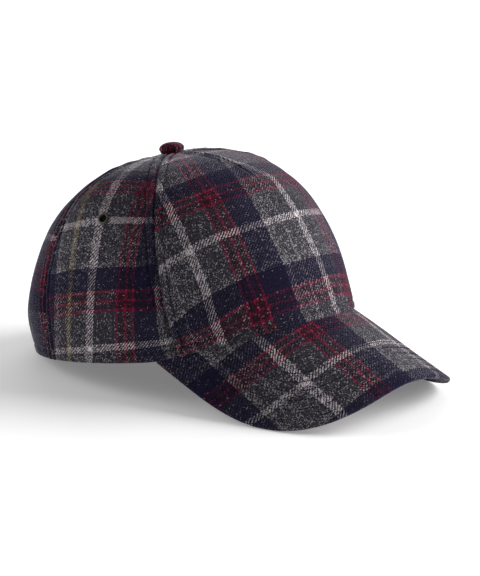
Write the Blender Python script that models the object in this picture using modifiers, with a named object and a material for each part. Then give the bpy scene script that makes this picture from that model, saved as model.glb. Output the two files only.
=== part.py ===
import math

import bmesh
import bpy
from mathutils import Matrix, Vector

# A five-panel peaked cap of tartan wool cloth.
# Lengths are in metres and angles in degrees. The cap is drawn as it is worn: the hem is level
# at z = 0, the peak points to -Y and the wearer's left is +X. An empty then tips it back on to
# the ground, where it rests on the peak's two low edges and on the back of its hem.

# Crown, measured over its outside
crown_height = 0.110
front_reach = 0.1015
side_reach = 0.089
back_reach = 0.1025
front_flare = 0.0022
side_tuck = 0.0016
back_tuck = 0.006
tuck_share = 0.15

# Roundness of the crown's profile in each direction: rise shapes its height, round its reach
profile_powers = {
    "front": {"rise": 1.65, "round": 2.55},
    "side": {"rise": 3.20, "round": 3.40},
    "back": {"rise": 1.65, "round": 1.75},
}

# Cloth and seams
cloth_wall = 0.002
clearance = 0.0003
seam_sink = 0.0012
hem_ease = 0.0006

# Seam lines as angles from the front: at the hem, their bow half way up, and at the button
seam_lines = {
    "front_side": {"hem": 59.5, "bow": 5.0, "top": 55.0},
    "side_back": {"hem": 114.0, "bow": 0.0, "top": 108.0},
    "centre_back": {"hem": 180.0, "bow": 0.0, "top": 180.0},
}

# Dart down the middle of the front panel, from the button
dart_end_climb = 54.0
dart_fade_climb = 13.5
dart_depth = 0.0009
dart_half_width = 0.004

# Peak: how far it stands out past the hem, to the front and at its sides, and its curves
peak_length = 0.0553
peak_side_flare = 0.0003
peak_shoulder_run = 0.019
peak_outline_power = 2.9
peak_thickness = 0.003
peak_slope = 32.0
peak_arch_radius = 0.088
peak_arch_limit = 0.94
peak_corner_angle = 67.0
peak_corner_run = 13.0
peak_tuck_in = 0.003
peak_shoulder_share = 0.8
peak_fan = 0.35

# Covered button at the crown's top
button_radius = 0.0073
button_height = 0.0047
button_edge_share = 0.22
button_steps = 7
button_shank_radius = 0.0028
button_shank_below = 0.0006

# Metal eyelets, one in each side panel
eyelet_angle = 83.5
eyelet_climb = 38.5
eyelet_bore_radius = 0.0020
eyelet_barrel_wall = 0.0005
eyelet_rim_width = 0.0008
eyelet_rim_height = 0.0007

# How far the soft edges are pressed flat on the ground
peak_press = 0.0002
hem_press = 0.0007

# Mesh density
panel_rows = 18
row_crowding = 1.2
front_columns = 26
side_columns = 11
back_columns = 12
peak_columns = 40
peak_rows = 7
rim_steps = 3
turned_steps = 20

top_climb = 90.0
nudge = 1e-4

charcoal = (0.075, 0.072, 0.085, 1.0)
navy = (0.022, 0.018, 0.045, 1.0)
maroon = (0.095, 0.018, 0.035, 1.0)
gunmetal = (0.045, 0.043, 0.042, 1.0)


def profile(direction, climb):
    """Reach and height share of the crown in one direction, climb degrees round from the hem."""
    size = {"front": front_reach, "side": side_reach, "back": back_reach}[direction]
    tuck = {"front": -front_flare, "side": side_tuck, "back": back_tuck}[direction]
    powers = profile_powers[direction]
    turn = math.radians(min(climb, top_climb))
    rise = math.sin(turn) ** (2 / powers["rise"])
    reach = size * max(math.cos(turn), 0.0) ** (2 / powers["round"])
    return reach - tuck * max(0.0, 1 - rise / tuck_share) ** 2, rise


def plan_point(angle, climb):
    """Position over the ground and height share of the crown's outside."""
    turn = math.radians(angle)
    side_out, side_rise = profile("side", climb)
    end_out, end_rise = profile("front" if math.cos(turn) > 0 else "back", climb)
    along = math.cos(turn) ** 2
    return side_out * math.sin(turn), -end_out * math.cos(turn), end_rise * along + side_rise * (1 - along)


def arch(x):
    """Fall and steepness of the peak's arch at a distance from its middle line."""
    across = min(abs(x), peak_arch_limit * peak_arch_radius)
    rest = math.sqrt(peak_arch_radius ** 2 - across ** 2)
    steep = across / rest
    return peak_arch_radius - rest + (abs(x) - across) * steep, steep


def peak_height(x, y):
    """Height of the peak's upper face, an arch that falls away to the front.

    Its corners lie at the level of the hem.
    """
    corner_x, corner_y, _ = plan_point(peak_corner_angle, 0.0)
    return arch(corner_x)[0] - arch(x)[0] + math.tan(math.radians(peak_slope)) * (y - corner_y)


def peak_normal(x):
    steep = math.copysign(arch(x)[1], x)
    return Vector((steep, -math.tan(math.radians(peak_slope)), 1.0)).normalized()


def hem_height(angle, x, y):
    """Height of the hem: it sits on the peak at the front and is level elsewhere."""
    fade = 1 - max(0.0, (abs(angle) - peak_corner_angle) / peak_corner_run)
    if fade <= 0:
        return 0.0
    seat = peak_height(x, y) + clearance / peak_normal(x).z
    ease = math.log1p(math.exp(-abs(seat) / hem_ease)) * hem_ease
    return fade * (max(seat, 0.0) + ease)


def crown_point(angle, climb):
    x, y, share = plan_point(angle, climb)
    hem_x, hem_y, _ = plan_point(angle, 0.0)
    hem = hem_height(angle, hem_x, hem_y)
    return Vector((x, y, hem + (crown_height - hem) * share))


def crown_normal(angle, climb):
    """Outward normal of the smooth crown, before its seams are sunk."""
    step = nudge * top_climb
    low = min(max(climb, step), top_climb - step)
    along = crown_point(angle + step, low) - crown_point(angle - step, low)
    up = crown_point(angle, low + step) - crown_point(angle, low - step)
    return along.cross(up).normalized()


def top_opening(angle):
    """Climb at which the crown's cloth ends, round the button's shank."""
    opening = button_shank_radius + clearance
    low, high = 0.0, top_climb
    for _ in range(40):
        middle = (low + high) / 2
        x, y, _ = plan_point(angle, middle)
        if math.hypot(x, y) > opening:
            low = middle
        else:
            high = middle
    return low


def seam_angle(name, share):
    line = seam_lines[name]
    return line["hem"] + (line["top"] - line["hem"]) * share + line["bow"] * 4 * share * (1 - share)


def panel_edges(panel, share):
    """Angles of a panel's two edges, a share of the way up from the hem."""
    front = seam_angle("front_side", share)
    side = seam_angle("side_back", share)
    back = seam_angle("centre_back", share)
    return {
        "front_panel": (-front, front),
        "side_panel_right": (-side, -front),
        "side_panel_left": (front, side),
        "back_panel_right": (-back, -side),
        "back_panel_left": (side, back),
    }[panel]


def dart_dip(panel, angle, climb, radius):
    if panel != "front_panel" or climb < dart_end_climb:
        return 0.0
    fade = min(1.0, (climb - dart_end_climb) / dart_fade_climb)
    beside = math.radians(abs(angle)) * radius / dart_half_width
    return dart_depth * fade * max(0.0, 1 - beside)


def panel_point(panel, across, share):
    """Outside and inside points of a panel, across from edge to edge and up from the hem."""
    first, last = panel_edges(panel, share)
    middle = first + (last - first) * across
    climb = top_opening(middle) * share ** row_crowding
    x, y, _ = plan_point(middle, climb)
    radius = math.hypot(x, y)
    trim = math.degrees(clearance / 2 / radius)
    angle = first + trim + (last - first - 2 * trim) * across
    climb = top_opening(angle) * share ** row_crowding
    sink = seam_sink * (2 * across - 1) ** 4 * math.sqrt(math.sin(math.pi * share))
    sink += dart_dip(panel, angle, climb, radius)
    normal = crown_normal(angle, climb)
    outside = crown_point(angle, climb) - normal * sink
    inside = outside - normal * cloth_wall
    if share == 0:
        inside.z = hem_height(angle, inside.x, inside.y)
    return outside, inside


def closed_shell(name, outer, inner, parts):
    """One closed body between two grids of points that have the same rows and columns."""
    mesh = bpy.data.meshes.new(name)
    body = bmesh.new()
    borders = []
    for rows in (outer, inner):
        grid = [[body.verts.new(point) for point in row] for row in rows]
        for low, high in zip(grid, grid[1:]):
            for a, b, c, d in zip(low, low[1:], high[1:], high):
                body.faces.new((a, b, c, d))
        right = [row[-1] for row in grid[1:-1]]
        left = [row[0] for row in grid[1:-1]]
        borders.append(grid[0] + right + grid[-1][::-1] + left[::-1])
    for index in range(len(borders[0])):
        following = (index + 1) % len(borders[0])
        corners = (borders[0][index], borders[0][following], borders[1][following], borders[1][index])
        body.faces.new(corners)
    bmesh.ops.recalc_face_normals(body, faces=body.faces)
    body.to_mesh(mesh)
    body.free()
    shell = bpy.data.objects.new(name, mesh)
    parts.objects.link(shell)
    smooth(shell)
    return shell


def smooth(piece):
    piece.data.shade_smooth()
    piece.data.set_sharp_from_angle(angle=math.radians(40))


def finish(piece, colour, roughness, metallic=0.0):
    """Gives a piece its own material."""
    material = bpy.data.materials.new(piece.name + "_finish")
    material.use_nodes = True
    shader = material.node_tree.nodes["Principled BSDF"]
    shader.inputs["Base Color"].default_value = colour
    shader.inputs["Roughness"].default_value = roughness
    shader.inputs["Metallic"].default_value = metallic
    piece.data.materials.clear()
    piece.data.materials.append(material)


def make_panel(name, columns, parts):
    shares = [row / panel_rows for row in range(panel_rows + 1)]
    pairs = [[panel_point(name, column / columns, share) for column in range(columns + 1)] for share in shares]
    outer = [[pair[0] for pair in row] for row in pairs]
    inner = [[pair[1] for pair in row] for row in pairs]
    panel = closed_shell(name, outer, inner, parts)
    finish(panel, charcoal, 0.95)
    return panel


def peak_outline(across):
    """Plan of the peak's outer edge, from -1 at its right corner to 1 at its left corner."""
    amount = abs(across)
    side = math.copysign(1.0, across)
    corner_x, corner_y, _ = plan_point(peak_corner_angle, 0.0)
    half_width = corner_x + peak_side_flare
    shoulder_y = corner_y - peak_shoulder_run
    tip_y = plan_point(0.0, 0.0)[1] - peak_length
    if amount > peak_shoulder_share:
        along = (amount - peak_shoulder_share) / (1 - peak_shoulder_share)
        return side * (half_width - peak_side_flare * along ** 2), shoulder_y + (corner_y - shoulder_y) * along
    turn = math.pi / 2 * (1 - amount / peak_shoulder_share)
    x = half_width * math.cos(turn) ** (2 / peak_outline_power)
    return side * x, shoulder_y + (tip_y - shoulder_y) * math.sin(turn) ** (2 / peak_outline_power)


def peak_section(across):
    """Upper and lower points of the peak, from inside the crown out to its rounded edge."""
    angle = peak_corner_angle * across * (1 + peak_fan * (1 - abs(across)))
    hem_x, hem_y, _ = plan_point(angle, 0.0)
    outward = crown_normal(angle, 0.0)
    inward = Vector((outward.x, outward.y, 0)).normalized() * -peak_tuck_in
    start = Vector((hem_x + inward.x, hem_y + inward.y, 0))
    end = Vector((*peak_outline(across), 0))
    radius = peak_thickness / 2

    def on_top(point):
        return Vector((point.x, point.y, peak_height(point.x, point.y)))

    width = (on_top(end) - on_top(start)).length
    edge_share = max(0.2, 1 - radius / width)
    upper = []
    lower = []
    for row in range(peak_rows + 1):
        share = edge_share * row / peak_rows
        point = start + (end - start) * share
        upper.append(on_top(point))
        lower.append(on_top(point) - peak_normal(point.x) * peak_thickness)
    last = start + (end - start) * edge_share
    normal = peak_normal(last.x)
    tangent = on_top(end) - on_top(last)
    tangent = (tangent - normal * tangent.dot(normal)).normalized()
    middle = on_top(last) - normal * radius
    for step in range(1, rim_steps):
        turn = math.pi / 2 * step / (rim_steps - 0.5)
        out = tangent * math.sin(turn) * radius
        rise = normal * math.cos(turn) * radius
        upper.append(middle + out + rise)
        lower.append(middle + out - rise)
    return upper, lower


def make_peak(parts):
    sections = [peak_section(-1 + 2 * column / peak_columns) for column in range(peak_columns + 1)]
    outer = [section[0] for section in sections]
    inner = [section[1] for section in sections]
    peak = closed_shell("peak", outer, inner, parts)
    finish(peak, navy, 0.95)
    return peak


def turned(name, outline, parts):
    """A closed turned piece about Z, from an outline that runs down its outer side."""
    closed = outline[0] != outline[-1] and min(point[0] for point in outline) > 0
    points = outline + outline[:1] if closed else outline
    mesh = bpy.data.meshes.new(name)
    edges = [(index, index + 1) for index in range(len(points) - 1)]
    mesh.from_pydata([(radius, 0, height) for radius, height in points], edges, [])
    piece = bpy.data.objects.new(name, mesh)
    parts.objects.link(piece)
    screw = piece.modifiers.new("Turn", "SCREW")
    screw.axis = "Z"
    screw.angle = 2 * math.pi
    screw.steps = turned_steps
    screw.render_steps = turned_steps
    screw.use_merge_vertices = True
    screw.merge_threshold = 0.00001
    return piece


def make_button(parts):
    """A covered button: a flattened dome with a short shank through the crown's top."""
    base = clearance
    edge = base + button_height * button_edge_share
    dome = []
    for step in range(button_steps + 1):
        turn = math.pi / 2 * (1 - step / button_steps)
        rise = (base + button_height - edge) * math.sin(turn) ** 0.9
        dome.append((button_radius * math.cos(turn) ** 0.8, edge + rise))
    shank_end = -cloth_wall - button_shank_below
    outline = dome + [
        (button_radius - cloth_wall / 4, base),
        (button_shank_radius, base),
        (button_shank_radius, shank_end),
        (0.0, shank_end),
    ]
    button = turned("button", outline, parts)
    button.location = (0, 0, crown_height)
    finish(button, maroon, 0.95)
    return button


def make_eyelet(name, side, panel, parts, cutters):
    """A rimmed metal eyelet through one side panel, and the hole it sits in."""
    barrel = eyelet_bore_radius + eyelet_barrel_wall
    rim = barrel + eyelet_rim_width
    top = clearance + eyelet_rim_height
    under = -cloth_wall - clearance
    outline = [
        (eyelet_bore_radius, top * 0.75),
        (barrel, top),
        (barrel + eyelet_rim_width * 0.6, top * 0.85),
        (rim, clearance),
        (barrel, clearance),
        (barrel, under),
        (rim * 0.95, under),
        (rim * 0.95, under - eyelet_barrel_wall),
        (eyelet_bore_radius, under - eyelet_barrel_wall),
    ]
    eyelet = turned(name, outline, parts)
    seat = crown_point(side * eyelet_angle, eyelet_climb)
    normal = crown_normal(side * eyelet_angle, eyelet_climb)
    eyelet.location = seat
    eyelet.rotation_euler = normal.to_track_quat("Z", "Y").to_euler()
    finish(eyelet, gunmetal, 0.4, 0.9)

    bpy.ops.mesh.primitive_cylinder_add(vertices=turned_steps, radius=barrel + clearance, depth=6 * cloth_wall)
    cutter = bpy.context.object
    cutter.name = name + "_hole"
    cutter.location = seat
    cutter.rotation_euler = eyelet.rotation_euler
    for collection in cutter.users_collection:
        collection.objects.unlink(cutter)
    cutters.objects.link(cutter)
    cutter.hide_render = True
    cutter.display_type = "WIRE"
    hole = panel.modifiers.new("Eyelet hole", "BOOLEAN")
    hole.operation = "DIFFERENCE"
    hole.solver = "EXACT"
    hole.object = cutter
    return eyelet, cutter


def lowest(points, tilt):
    return min(point.z * math.cos(tilt) - point.y * math.sin(tilt) for point in points)


def resting_tilt(front_points, back_points):
    """Tilt at which the peak's edges and the back of the hem touch the ground together."""
    low, high = -math.pi / 4, math.pi / 4
    for _ in range(60):
        middle = (low + high) / 2
        if lowest(front_points, middle) + peak_press < lowest(back_points, middle) + hem_press:
            low = middle
        else:
            high = middle
    return low


def rest_on_ground(panels, peak, pieces, parts):
    """Tips the cap on to the ground, centres it there and presses its lowest edges flat."""
    peak_points = [vertex.co for vertex in peak.data.vertices]
    back_points = [vertex.co for panel in panels for vertex in panel.data.vertices if vertex.co.y > 0]
    tilt = resting_tilt(peak_points, back_points)
    turn = Matrix.Rotation(-tilt, 4, "X")
    everything = [turn @ vertex.co for piece in panels + [peak] for vertex in piece.data.vertices]
    middle_y = (min(point.y for point in everything) + max(point.y for point in everything)) / 2
    lift = -lowest(peak_points, tilt) - peak_press

    rest = bpy.data.objects.new("resting_place", None)
    parts.objects.link(rest)
    rest.rotation_euler = (-tilt, 0, 0)
    rest.location = (0, -middle_y, lift)
    place = Matrix.Translation(rest.location) @ turn
    back = place.inverted()
    for piece in panels + [peak]:
        for vertex in piece.data.vertices:
            ground = place @ vertex.co
            if ground.z < 0:
                ground.z = 0
                vertex.co = back @ ground
    for piece in pieces:
        piece.parent = rest


def main():
    for leftover in list(bpy.data.objects):
        bpy.data.objects.remove(leftover, do_unlink=True)
    parts = bpy.data.collections.new("peaked_cap")
    cutters = bpy.data.collections.new("cutters")
    bpy.context.scene.collection.children.link(parts)
    bpy.context.scene.collection.children.link(cutters)

    panels = {
        "front_panel": make_panel("front_panel", front_columns, parts),
        "side_panel_right": make_panel("side_panel_right", side_columns, parts),
        "side_panel_left": make_panel("side_panel_left", side_columns, parts),
        "back_panel_right": make_panel("back_panel_right", back_columns, parts),
        "back_panel_left": make_panel("back_panel_left", back_columns, parts),
    }
    peak = make_peak(parts)
    button = make_button(parts)
    right = make_eyelet("eyelet_right", -1, panels["side_panel_right"], parts, cutters)
    left = make_eyelet("eyelet_left", 1, panels["side_panel_left"], parts, cutters)
    shells = list(panels.values())
    rest_on_ground(shells, peak, shells + [peak, button, *right, *left], parts)


main()
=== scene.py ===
import math

import bpy
import numpy as np
from mathutils import Matrix, Vector


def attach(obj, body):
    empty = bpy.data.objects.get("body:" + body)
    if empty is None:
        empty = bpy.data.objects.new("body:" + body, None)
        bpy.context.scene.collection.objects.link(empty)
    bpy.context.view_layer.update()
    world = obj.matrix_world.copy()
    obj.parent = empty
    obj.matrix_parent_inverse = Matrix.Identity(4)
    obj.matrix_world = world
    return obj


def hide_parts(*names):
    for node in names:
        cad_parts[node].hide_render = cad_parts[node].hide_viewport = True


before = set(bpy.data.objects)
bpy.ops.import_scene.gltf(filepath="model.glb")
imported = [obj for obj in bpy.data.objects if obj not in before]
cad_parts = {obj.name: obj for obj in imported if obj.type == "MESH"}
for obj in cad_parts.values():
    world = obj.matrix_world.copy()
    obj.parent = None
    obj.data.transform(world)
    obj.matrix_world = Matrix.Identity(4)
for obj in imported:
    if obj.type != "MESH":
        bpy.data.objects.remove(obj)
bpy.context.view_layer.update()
print("frame loaded")

# The cap is drawn as it is worn: hem level at z = 0, peak to -Y, wearer's left at +X, all in metres.
# wornPlace then tips it back on to the floor, where its CAD solids lie.

crown = {
    "height": 0.110,
    "front": {"reach": 0.1015, "tuck": -0.0022, "rise": 1.65, "round": 2.55},
    "side": {"reach": 0.089, "tuck": 0.0016, "rise": 3.20, "round": 3.40},
    "back": {"reach": 0.1025, "tuck": 0.006, "rise": 1.65, "round": 1.75},
    "tuckShare": 0.15,
    "hemEase": 0.0006,
    "opening": 0.0031,
    "rowCrowding": 1.2,
}

peak = {
    "slope": math.radians(32),
    "archRadius": 0.088,
    "archLimit": 0.94,
    "cornerAngle": math.radians(67),
    "cornerRun": math.radians(13),
    "length": 0.0553,
    "sideFlare": 0.0003,
    "shoulderRun": 0.019,
    "outlinePower": 2.9,
    "shoulderShare": 0.8,
    "tuckIn": 0.003,
    "fan": 0.35,
    "thickness": 0.003,
    "columns": 260,
    "rows": 84,
    "rimSteps": 9,
    "stitchGap": 0.006,
    "stitchRows": 6,
    "stitchDip": 0.00022,
    "dipWidth": 0.0007,
    "stitchSink": 0.6,  # how far down in their dips the stitches lie
    "waves": 0.00012,
    "wavePhase": 0.7,
    "underShift": (0.011, -0.019),  # the underside is cut from another stretch of the cloth
}

seamLines = {  # angle from the front at the hem, bow half way up, angle at the button
    "frontSide": (59.5, 5.0, 55.0),
    "sideBack": (114.0, 0.0, 108.0),
    "centreBack": (180.0, 0.0, 180.0),
}

panels = {
    "front_panel": {"edges": ("-frontSide", "frontSide"), "middle": 0, "columns": 176, "crowd": 0.64},
    "side_panel_right": {"edges": ("-sideBack", "-frontSide"), "middle": -86, "columns": 104, "crowd": 0.5},
    "side_panel_left": {"edges": ("frontSide", "sideBack"), "middle": 86, "columns": 104, "crowd": 0.5},
    "back_panel_right": {"edges": ("-centreBack", "-sideBack"), "middle": -146, "columns": 112, "crowd": 0.5},
    "back_panel_left": {"edges": ("sideBack", "centreBack"), "middle": 146, "columns": 112, "crowd": 0.5},
}

cloth = {
    "wall": 0.002,
    "rows": 150,
    "rowCrowd": 0.4,
    "trialRows": 260,
    "foldSteps": 8,
    "pillow": 0.0007,  # how far a panel's edges sink below its middle
    "groove": 0.0010,
    "grooveWidth": 0.0010,
    "allowance": 0.00035,  # the folded seam allowance shows as a low ridge up to the topstitching
    "ridgeStart": 0.0015,
    "ridgeEnd": 0.0012,
    "stitchOffset": 0.005,
    "stitchDip": 0.00055,
    "dipWidth": 0.0008,
    "dipBeat": 0.25,
    "hemTurn": 0.0052,
    "hemRidge": 0.0003,
    "waves": 0.0003,
    "waveStart": 0.02,
    "pucker": 0.00025,
    "puckerRun": 0.010,
    "puckerStart": 0.003,
    "puckerStep": 0.0021,
    "puckerDrift": 0.017,
    "seamOverlap": 0.00008,  # neighbouring panels press into each other in the seam
}

dart = {
    "end": math.radians(54),
    "fade": math.radians(13.5),
    "depth": 0.0011,
    "width": 0.0012,
    "ridge": 0.0006,
    "ridgeStart": 0.001,
    "ridgeReach": 0.0045,
    "ridgeFall": 0.0025,
}

waveRuns = {"across": 0.0068, "acrossDrift": 0.013, "up": 0.0091, "upDrift": 0.016, "slant": 0.0127}


# Form of the crown

def profile(part, climb):
    rise = np.sin(climb) ** (2 / part["rise"])
    reach = part["reach"] * np.clip(np.cos(climb), 0, 1) ** (2 / part["round"])
    return reach - part["tuck"] * np.clip(1 - rise / crown["tuckShare"], 0, 1) ** 2, rise


def planPoint(angle, climb):
    sideOut, sideRise = profile(crown["side"], climb)
    frontOut, frontRise = profile(crown["front"], climb)
    backOut, backRise = profile(crown["back"], climb)
    ahead = np.cos(angle) > 0
    endOut = np.where(ahead, frontOut, backOut)
    endRise = np.where(ahead, frontRise, backRise)
    along = np.cos(angle) ** 2
    return sideOut * np.sin(angle), -endOut * np.cos(angle), endRise * along + sideRise * (1 - along)


def archFall(x):
    across = np.minimum(np.abs(x), peak["archLimit"] * peak["archRadius"])
    rest = np.sqrt(peak["archRadius"] ** 2 - across ** 2)
    return peak["archRadius"] - rest + (np.abs(x) - across) * across / rest, across / rest


cornerX, cornerY, _ = (float(value) for value in planPoint(peak["cornerAngle"], 0.0))
frontY = float(planPoint(0.0, 0.0)[1])


def peakTop(x, y):
    return archFall(cornerX)[0] - archFall(x)[0] + math.tan(peak["slope"]) * (y - cornerY)


def hemHeight(angle):
    x, y, _ = planPoint(angle, np.zeros_like(angle))
    fade = np.clip(1 - (np.abs(angle) - peak["cornerAngle"]) / peak["cornerRun"], 0, 1)
    seat = peakTop(x, y)
    ease = np.log1p(np.exp(-np.abs(seat) / crown["hemEase"])) * crown["hemEase"]
    return fade * (np.maximum(seat, 0) + ease)


def crownPoint(angle, climb):
    angle, climb = np.broadcast_arrays(angle, climb)
    x, y, share = planPoint(angle, climb)
    hem = hemHeight(angle)
    return np.stack([x, y, hem + (crown["height"] - hem) * share], -1)


def unit(vectors):
    return vectors / np.maximum(np.linalg.norm(vectors, axis=-1, keepdims=True), 1e-12)


def crownNormal(angle, climb):
    step = 0.002
    low = np.clip(climb, step, math.pi / 2 - step)
    along = crownPoint(angle + step, low) - crownPoint(angle - step, low)
    up = crownPoint(angle, low + step) - crownPoint(angle, low - step)
    return unit(np.cross(along, up))


def topOpening(angle):
    low = np.zeros_like(angle)
    high = np.full_like(angle, math.pi / 2)
    for _ in range(40):
        middle = (low + high) / 2
        x, y, _ = planPoint(angle, middle)
        outside = np.hypot(x, y) > crown["opening"]
        low = np.where(outside, middle, low)
        high = np.where(outside, high, middle)
    return low


def seamAngle(name, share):
    hem, bow, top = seamLines[name.strip("-")]
    angle = np.radians(hem + (top - hem) * share + bow * 4 * share * (1 - share))
    return -angle if name.startswith("-") else angle


def crowded(count, amount):  # even steps from 0 to 1 that close up towards both ends
    even = np.linspace(0, 1, count + 1)
    return even - amount * np.sin(2 * math.pi * even) / (2 * math.pi)


def curveThrough(heights, values, at):
    return np.polyval(np.polyfit(heights, values, len(heights) - 1), at)


def fadeIn(distance, run):
    return np.clip(distance / run, 0, 1)


def bell(distance, width):
    return np.exp(-(distance / width) ** 2)


def softWaves(u, v, phase):
    across = u / waveRuns["across"] + 1.3 * np.sin(v / waveRuns["acrossDrift"] + phase)
    up = v / waveRuns["up"] + 1.1 * np.sin(u / waveRuns["upDrift"] - phase)
    slant = (u + v) / waveRuns["slant"]
    return 0.5 * np.sin(across + phase) + 0.7 * np.sin(up + 2.1 * phase) + 0.6 * np.sin(slant - 1.7 * phase)


def wornPlace():
    # the covered button is turned about the crown's own axis, so its CAD solid tells how the cap lies
    points = np.array([vertex.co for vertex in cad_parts["button"].data.vertices])
    points = np.unique(points.round(6), axis=0)
    centre = points.mean(0)
    _, spread, axes = np.linalg.svd(points - centre, full_matrices=False)
    axis = axes[2] if spread[0] - spread[1] < spread[1] - spread[2] else axes[0]
    axis = axis * np.sign(axis[2])
    top = ((points - centre) @ axis).max()
    origin = centre + axis * (top - crown["height"] - button["seat"] - button["height"])
    tilt = math.atan2(axis[1], axis[2])
    return Matrix.Translation(Vector(origin)) @ Matrix.Rotation(-tilt, 4, "X")


# Meshes from rows of points

def gridFaces(rows, columns, closeRows, closeColumns):
    faces = []
    for row in range(rows if closeRows else rows - 1):
        above = (row + 1) % rows
        for column in range(columns if closeColumns else columns - 1):
            beside = (column + 1) % columns
            faces.append((row * columns + column, row * columns + beside,
                          above * columns + beside, above * columns + column))
    return faces


def closeEnds(faces, columns, layers, mirror, tip, flips):
    # closes a folded sheet at its first and last column: rows pair off with their mirror rows, and the fold's
    # own rows make the tip
    for column, flip in zip((0, columns - 1), flips):
        loops = [(row, row + 1, mirror - row - 1, mirror - row) for row in range(layers - 1)]
        for loop in [*loops, tip]:
            face = tuple(entry * columns + column for entry in loop)
            faces.append(face[::-1] if flip else face)


def linkPiece(name, data):
    piece = bpy.data.objects.new(name, data)
    bpy.context.scene.collection.objects.link(piece)
    return piece


def makeMesh(name, points, faces, place, floor=True):
    turn = np.array(place)
    world = points.reshape(-1, 3) @ turn[:3, :3].T + turn[:3, 3]
    if floor:
        world[:, 2] = np.maximum(world[:, 2], 0)  # soft edges are pressed flat where they touch the floor
    mesh = bpy.data.meshes.new(name)
    mesh.from_pydata(world.tolist(), [], faces)
    mesh.shade_smooth()
    return linkPiece(name, mesh)


def bakeModifier(piece, modifier):
    bpy.context.view_layer.update()
    evaluated = piece.evaluated_get(bpy.context.evaluated_depsgraph_get())
    mesh = bpy.data.meshes.new_from_object(evaluated)
    piece.modifiers.remove(modifier)
    piece.data = mesh


def writeUV(piece, pairs):
    layer = piece.data.uv_layers.new(name="cloth")
    corners = np.empty(len(piece.data.loops), np.int32)
    piece.data.loops.foreach_get("vertex_index", corners)
    layer.data.foreach_set("uv", pairs.reshape(-1, 2)[corners].astype(np.float32).ravel())


def dressPiece(piece, nodeName, slotName, *materials):
    for material in materials:
        piece.data.materials.append(material)
    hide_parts(nodeName)
    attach(piece, "root")


# Cloth pattern: where each piece was cut from the tartan, and how far its stripes wander there.
# whiteStripe is the path of a white warp stripe at four heights, weftStart the height of a white weft
# stripe, and rise and bow tell how the weft stripes climb across the piece.

patternHeights = (0.0, 0.040, 0.080, 0.120)
plainCut = {
    "crowdAhead": (0, 0, 0, 0),
    "aheadStretch": 1.0,
    "behindStretch": 1.0,
    "rise": 0.0,
    "topSqueeze": 0.0,
    "squeezeFrom": 0.060,
    "repeat": 0,
    "turned": False,
}
cuts = {
    "front_panel": {
        "whiteStripe": (-0.0715, -0.0743, -0.0702, -0.0553),
        "aheadStretch": 0.963,
        "weftStart": 0.0627,
        "bow": (-2.9, -2.6, -1.7, -1.0),
        "dartGap": 0.95,
        "dartFrom": 0.092,
        "repeat": 1,
    },
    "side_panel_right": {
        "whiteStripe": (-0.0105, -0.0032, 0.0016, 0.0030),
        "crowdAhead": (1.1, 7.8, 11.4, 11.4),
        "aheadStretch": 0.93,
        "behindStretch": 0.90,
        "weftStart": 0.0090,
        "rise": 0.085,
        "bow": (0.8, 1.5, 4.0, 4.0),
        "topSqueeze": 2.7,
    },
    "side_panel_left": {
        "whiteStripe": (0.0185, 0.0165, 0.0140, 0.0120),
        "weftStart": 0.021,
        "rise": -0.05,
        "bow": (0.8, 1.0, 1.4, 1.6),
        "topSqueeze": 1.5,
        "repeat": 1,
    },
    "back_panel_right": {
        "whiteStripe": (0.079, 0.079, 0.076, 0.070),
        "weftStart": 0.068,
        "bow": (-2.2, -1.8, 0.4, 1.4),
        "repeat": 1,
        "turned": True,
    },
    "back_panel_left": {
        "whiteStripe": (-0.020, -0.021, -0.018, -0.012),
        "weftStart": 0.046,
        "bow": (0.6, 0.8, 1.2, 1.4),
    },
}
peakCut = {
    "whiteStripe": -0.0503,
    "lean": 0.095,
    "crowdAhead": 1.5,
    "aheadStretch": 0.844,
    "behindStretch": 0.95,
    "weftStart": -0.030,
    "backStretch": 1.06,
    "frontStretch": 0.99,
    "cornerRise": 4.5,
    "cornerFrom": -0.050,
    "repeat": 1,
}


def clothOnPanel(name, u, v):
    cut = {**plainCut, **cuts[name]}
    stripe = curveThrough(patternHeights, cut["whiteStripe"], v)
    crowd = curveThrough(patternHeights, cut["crowdAhead"], v)
    bow = curveThrough(patternHeights, cut["bow"], v)
    if "dartGap" in cut:  # the dart has taken a wedge of cloth out on the wearer's left of the middle
        stripe = stripe - np.where(u > 0, cut["dartGap"] * np.maximum(v - cut["dartFrom"], 0), 0)
    ahead = u - stripe
    stretched = ahead * cut["aheadStretch"] * (1 + crowd * ahead)
    warp = np.where(ahead > 0, stretched, ahead * cut["behindStretch"])
    up = v - cut["weftStart"] - cut["rise"] * u - bow * u ** 2
    weft = up + cut["topSqueeze"] * np.maximum(up - cut["squeezeFrom"], 0) ** 2
    sign = -1 if cut["turned"] else 1
    return np.stack([sign * warp + cut["repeat"] * tartan["warpRepeat"], sign * weft], -1)


def clothOnPeak(flat):
    across, forward = flat[..., 0], flat[..., 1]
    ahead = across - peakCut["whiteStripe"] - peakCut["lean"] * forward
    stretched = ahead * peakCut["aheadStretch"] * (1 + peakCut["crowdAhead"] * ahead)
    warp = np.where(ahead > 0, stretched, ahead * peakCut["behindStretch"])
    corner = peakCut["cornerRise"] * np.minimum(0, across - peakCut["cornerFrom"]) ** 2
    back = forward - peakCut["weftStart"] - corner
    weft = back * np.where(back > 0, peakCut["backStretch"], peakCut["frontStretch"])
    return np.stack([warp + peakCut["repeat"] * tartan["warpRepeat"], weft], -1)


# Wool tartan: stripes as thread counts, woven as a two-and-two twill and then brushed

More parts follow.
